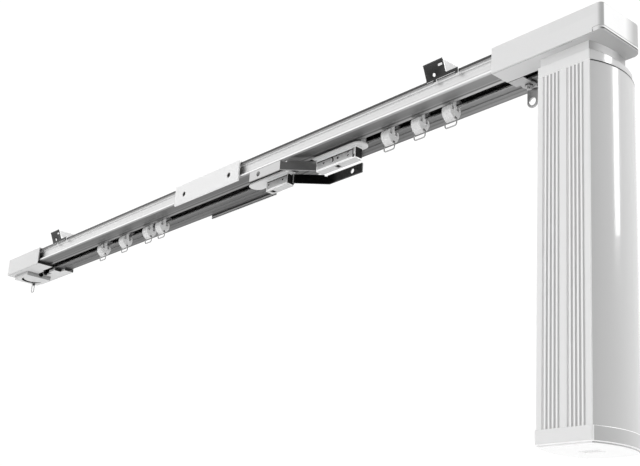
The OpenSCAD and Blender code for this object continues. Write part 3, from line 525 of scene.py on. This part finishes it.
eased("motor_can", 0.0005, turned_steel)
eased("control_board", 0.0002, circuit_board)
eased("power_inlet", 0.0003, inlet_white)

# Return end: a white cover and base over the idler pulley, which turns on a steel axle.
# The base is stepped below, with a curved pocket and a mouth where the runners are threaded in.
# A bright wire loop hangs from its lug.

POCKET_X = -0.4345
POCKET_Y = -0.001
POCKET_R = 0.0131
POCKET_LOW = -0.0372
POCKET_HIGH = -0.0336
MOUTH_LOW = -0.0323
MOUTH_HIGH = -0.0288

bright_wire = Finish("bright_wire")
drawing = bright_wire.noise((500.0, 500.0, 500.0))
bright_wire.shade(
    {
        "Base Color": bright_wire.mix(drawing, grey(0.34), grey(0.46)),
        "Metallic": 1.0,
        "Roughness": 0.15 + 0.12 * drawing,
    }
)
end_white = Finish("return_end_plastic")
# Painted shade from occlusion deep in recesses.
pocket = end_white.hollow(0.008)
moulding = end_white.noise((600.0, 600.0, 600.0))
painted_deep_shade = end_white.span(pocket, 0.36, 0.62)
aside = end_white.axis("X") - POCKET_X
along = end_white.axis("Y") - POCKET_Y
depth = end_white.axis("Z")
in_round = (aside * aside + along * along) < POCKET_R * POCKET_R
# Painted shadow: the curved pocket is painted black.
pocket_shadow = in_round * (depth > POCKET_LOW) * (depth < POCKET_HIGH)
# Painted shade: upright faces are painted grey, and those at the mouth black.
upright = abs(end_white.facing("X")) > 0.5
mouth_edge = upright * (depth > MOUTH_LOW) * (depth < MOUTH_HIGH)
step_face_shade = end_white.mix(mouth_edge, grey(0.36), grey(0.02))
plain = end_white.mix(upright, end_white.mix(moulding, grey(0.76), grey(0.8)), step_face_shade)
end_white.shade(
    {
        "Base Color": end_white.mix(pocket_shadow, end_white.mix(painted_deep_shade, plain, grey(0.01)), grey(0.004)),
        "Roughness": 0.34 + 0.12 * moulding,
        "Normal": end_white.bump(moulding, 0.000012),
    }
)
eased("idler_cover", 0.0004, end_white, 3)
eased("idler_base", 0.0003, end_white)
eased("idler_axle", 0.0002, turned_steel)
eased("end_ring", 0.0, bright_wire)

# Belt drive: a black moulded belt round two toothed nylon pulleys, one at each end of the track.
# The belt runs inside the extrusion between its guides, and each carrier grips one run.

belt_rubber = Finish("belt_rubber")
ply = belt_rubber.noise((900.0, 900.0, 3000.0))
belt_rubber.shade(
    {
        "Base Color": belt_rubber.mix(ply, grey(0.015), grey(0.04)),
        "Roughness": 0.6 + 0.2 * ply,
        "Normal": belt_rubber.bump(ply, 0.00004),
    }
)
nylon = Finish("natural_nylon")
flow = nylon.noise((250.0, 250.0, 250.0))
nylon.shade(
    {
        "Base Color": nylon.mix(flow, grey(0.78, 0.01), grey(0.88, 0.01)),
        "Roughness": 0.28 + 0.14 * flow,
        "Transmission Weight": 0.3,
        "IOR": 1.5,
        "Normal": nylon.bump(flow, 0.00002),
    }
)
eased("drive_belt", 0.0002, belt_rubber)
for node in ("drive_pulley", "idler_pulley"):
    eased(node, 0.00012, nylon)

# End hook: a pressed steel plate, zinc plated, with a tab bent down for the curtain's outer edge.
# One cross-slot screw holds it under the track, beside the drive housing.

hook_zinc = Finish("hook_zinc")
tarnish = hook_zinc.noise((260.0, 260.0, 260.0))
# Painted shade from occlusion in crevices.
crevice_shade = hook_zinc.span(hook_zinc.hollow(0.002), 0.25, 0.6)
hook_zinc.shade(
    {
        "Base Color": hook_zinc.mix(crevice_shade, hook_zinc.mix(tarnish, grey(0.44), grey(0.58)), grey(0.02)),
        "Metallic": 1.0,
        "Roughness": 0.24 + 0.16 * tarnish,
        "Normal": hook_zinc.bump(tarnish, 0.00002),
    }
)
eased("end_hook", 0.0003, hook_zinc)
eased("end_hook_screw", 0.0003, hook_zinc)

# Carriers: a white moulded body on nylon wheels, a hanger pressed from zinc-plated sheet, and a belt clip.
# A flat steel arm is riveted inside each hanger and laps the other carrier's.
# The right arm is zinc plated and passes in front; the left one is black and passes behind.

white_matte = Finish("white_glass_filled_plastic")
weave = white_matte.noise((800.0, 800.0, 800.0))
white_matte.shade(
    {
        "Base Color": white_matte.mix(weave, grey(0.76), grey(0.84)),
        "Roughness": 0.42 + 0.16 * weave,
        "Normal": white_matte.bump(weave, 0.00002),
    }
)
hanger_low, hanger_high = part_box("carrier_right_hanger")
short_low, short_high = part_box("carrier_left_hanger")
SHEET = 0.0013
CHANNEL_HALF = 0.0031
WEB_BACK = 0.0043
pressed = Finish("pressed_zinc_hanger")
stamp = pressed.noise((300.0, 300.0, 300.0))
rise = pressed.axis("Z")
within = (rise > hanger_low.z + SHEET) * (rise < hanger_high.z - SHEET)
# Painted shade: the channel's inside and the bore walls are painted black.
channel = within * (abs(pressed.axis("Y")) < CHANNEL_HALF)
# Painted highlight: the top and bottom folds and the web's ends are painted near white.
fold_highlight = (rise > hanger_high.z - 1.6 * SHEET) + (rise < hanger_low.z + 1.7 * SHEET)
sole = pressed.facing("Z") < -0.5
bore_wall = within * (abs(pressed.facing("Y")) < 0.5) * (abs(pressed.axis("Y")) < WEB_BACK)
ends = (short_low.x, short_high.x, hanger_low.x, hanger_high.x)
web_end_highlight = sum(abs(pressed.axis("X") - end) < 0.8 * SHEET for end in ends)
# Painted shade: a dark line under the top fold.
crease_shade = (rise > hanger_high.z - 2.5 * SHEET) * (rise < hanger_high.z - 1.6 * SHEET)
web = pressed.mix(crease_shade, pressed.mix(stamp, grey(0.46), grey(0.58)), grey(0.05))
web_tone = pressed.mix(fold_highlight + web_end_highlight, web, grey(0.95))
sole_tone = pressed.mix(stamp, grey(0.56), grey(0.8))
pressed.shade(
    {
        "Base Color": pressed.mix(channel + bore_wall, pressed.mix(sole, web_tone, sole_tone), grey(0.03)),
        "Metallic": 0.8,
        "Roughness": 0.3 + 0.16 * stamp,
        "Normal": pressed.bump(stamp, 0.00002),
    }
)
arm_zinc = Finish("dull_zinc_arm")
rolling = arm_zinc.noise((40.0, 40.0, 1500.0))
arm_zinc.shade(
    {
        "Base Color": arm_zinc.mix(rolling, grey(0.34), grey(0.42)),
        "Metallic": 1.0,
        "Roughness": 0.26 + 0.14 * rolling,
        "Normal": arm_zinc.bump(rolling, 0.00002),
    }
)
arm_low, arm_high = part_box("carrier_left_arm")
ARM_BEND = 0.0172
BEND_HIGHLIGHT_HALF = 0.0004
TOP_HIGHLIGHT = 0.0005
OUTER_RUN = (0.142, 0.150)
arm_black = Finish("black_arm")
scale = arm_black.noise((400.0, 400.0, 400.0))
# Painted shade: the arm is near black short of its outer run, where it lies in shade.
outer_run = arm_black.span(arm_black.axis("X"), *OUTER_RUN)
# Painted highlight along the arm's top edge and at its bend.
bend = abs(arm_black.axis("X") - arm_low.x - ARM_BEND) < BEND_HIGHLIGHT_HALF
arm_edge_highlight = (arm_black.axis("Z") > arm_high.z - TOP_HIGHLIGHT) + bend
black_skin_and_shade = arm_black.mix(outer_run, grey(0.004), arm_black.mix(scale, grey(0.06), grey(0.11)))
arm_black.shade(
    {
        "Base Color": arm_black.mix(arm_edge_highlight, black_skin_and_shade, grey(0.6)),
        "Metallic": 0.7,
        "Roughness": 0.24 + 0.16 * scale,
        "Normal": arm_black.bump(scale, 0.00002),
    }
)
for side, arm_finish in (("right", arm_zinc), ("left", arm_black)):
    carrier = "carrier_" + side
    eased(carrier + "_body", 0.0003, white_matte)
    eased(carrier + "_hanger", 0.0002, pressed)
    eased(carrier + "_arm", 0.0003, arm_finish)
    eased(carrier + "_clip", 0.0002, nylon)
    for wheels in ("_wheels_a", "_wheels_b"):
        eased(carrier + wheels, 0.0003, nylon)

# Gliders: moulded in natural nylon, each on two wheels in the track, with a wire ring for a curtain hook.
# The bowl is thin enough to let light through, helped by a painted glow, and its wells carry painted
# shadow.

glider_nylon = Finish("clear_nylon_bowl")
haze = glider_nylon.noise((160.0, 160.0, 160.0))
# Painted shadow in the wells from occlusion; a painted glow on the bowl.
well = glider_nylon.span(glider_nylon.hollow(0.004), 0.3, 0.8)
front_shell = glider_nylon.facing("Y") < -0.25
milky = glider_nylon.mix(front_shell, grey(0.82), grey(0.99))
glow = glider_nylon.mix(front_shell, grey(0.1), grey(0.05))
glider_nylon.shade(
    {
        "Base Color": glider_nylon.mix(well, glider_nylon.mix(haze * 0.2, milky, grey(0.5)), grey(0.3)),
        "Emission Color": glider_nylon.mix(well, glow, grey(0.02)),
        "Emission Strength": 1.0,
        "Roughness": 0.2 + 0.16 * haze,
        "Transmission Weight": 0.22,
        "IOR": 1.5,
        "Normal": glider_nylon.bump(haze, 0.00001),
    }
)
for glider in sorted(name for name in solids if name.startswith("glider_") and name[-1].isdigit()):
    eased(glider, 0.0003, glider_nylon)
    eased(glider + "_wheels", 0.0003, nylon)
    eased(glider + "_ring", 0.0, bright_wire)

# Studio: a white room with a wide pale floor, well below the hanging track.
# A large window lights it from the front left and a small one from the right.
# The room is dark towards the front right, which gives the metal its contrast.

FLOOR_DROP = 0.30
FLOOR_SIDE = 200.0

bpy.ops.mesh.primitive_plane_add(size=FLOOR_SIDE, location=(0, 0, cad_low.z - FLOOR_DROP))
floor = bpy.context.object
floor.name = "studio_floor"
pale_paint = Finish("pale_floor_paint")
scuff = pale_paint.noise((3.0, 3.0, 3.0))
pale_paint.shade({"Base Color": pale_paint.mix(scuff, grey(0.74), grey(0.78)), "Roughness": 0.6})
floor.data.materials.append(pale_paint.material)

room = bpy.data.worlds.new("white_room")
room.use_nodes = True
bpy.context.scene.world = room
sky = Finish("white_room", room.node_tree)
outward = sky.node("ShaderNodeTexCoord", {}, {}, "Generated")


def towards(direction, edge, centre):
    """A soft patch of the room, from 0 at its edge to 1 at its centre."""
    dot = {"operation": "DOT_PRODUCT"}
    facing = sky.node("ShaderNodeVectorMath", dot, {0: outward, 1: direction}, "Value")
    reach = {"Value": facing, "From Min": edge, "From Max": centre}
    return sky.node("ShaderNodeMapRange", {"interpolation_type": "SMOOTHSTEP"}, reach)


back_wall = towards((0.0, 1.0, 0.0), -0.2, 0.25)
left_window = towards((-0.74, -0.60, 0.30), 0.72, 0.95)
dark_door = towards((0.64, -0.74, 0.20), 0.70, 0.93)
right_wall = towards((0.93, 0.25, 0.25), 0.2, 0.9)
wall = 0.72 + 0.33 * back_wall + 1.1 * left_window + 0.5 * right_wall
backdrop = room.node_tree.nodes["Background"]
sky.feed(backdrop.inputs["Color"], grey(1.0))
sky.feed(backdrop.inputs["Strength"], wall * (1 - 0.85 * dark_door))

WINDOW_PLACE = Vector((2.34, 1.64, 1.35))
WINDOW_AIM = Vector((0.45, 0.0, 0.4))
WINDOW_WIDTH = 0.5
WINDOW_HEIGHT = 1.2
WINDOW_WATTS = 13

window = bpy.data.lights.new("right_window", "AREA")
window.shape = "RECTANGLE"
window.size = WINDOW_WIDTH
window.size_y = WINDOW_HEIGHT
window.energy = WINDOW_WATTS
window_frame = bpy.data.objects.new("right_window", window)
window_frame.location = WINDOW_PLACE
window_frame.rotation_euler = (WINDOW_AIM - WINDOW_PLACE).to_track_quat("-Z", "Y").to_euler()
bpy.context.scene.collection.objects.link(window_frame)

# Camera: low in front of the motor's end, looking up along the track, with a long lens.
# It leans a little, and its view is raised so that the whole track stays in the picture.

CAMERA_PLACE = (0.8870, -0.6182, -0.4462)
CAMERA_YAW = 49.39
CAMERA_PITCH = 15.61
CAMERA_ROLL = 3.55
CAMERA_LENS = 60.84
CAMERA_RISE = 0.12

camera = bpy.data.objects.new("camera", bpy.data.cameras.new("camera"))
camera.data.lens = CAMERA_LENS
camera.data.sensor_width = 36.0
camera.data.shift_y = CAMERA_RISE
camera.data.clip_start = 0.01
camera.location = CAMERA_PLACE
turn = Euler((math.radians(90 + CAMERA_PITCH), 0.0, math.radians(CAMERA_YAW)), "XYZ").to_matrix()
tilt = Euler((0.0, 0.0, math.radians(CAMERA_ROLL)), "XYZ").to_matrix()
camera.rotation_euler = (turn @ tilt).to_euler()
bpy.context.scene.collection.objects.link(camera)
bpy.context.scene.camera = camera
bpy.context.scene.view_settings.view_transform = "Standard"
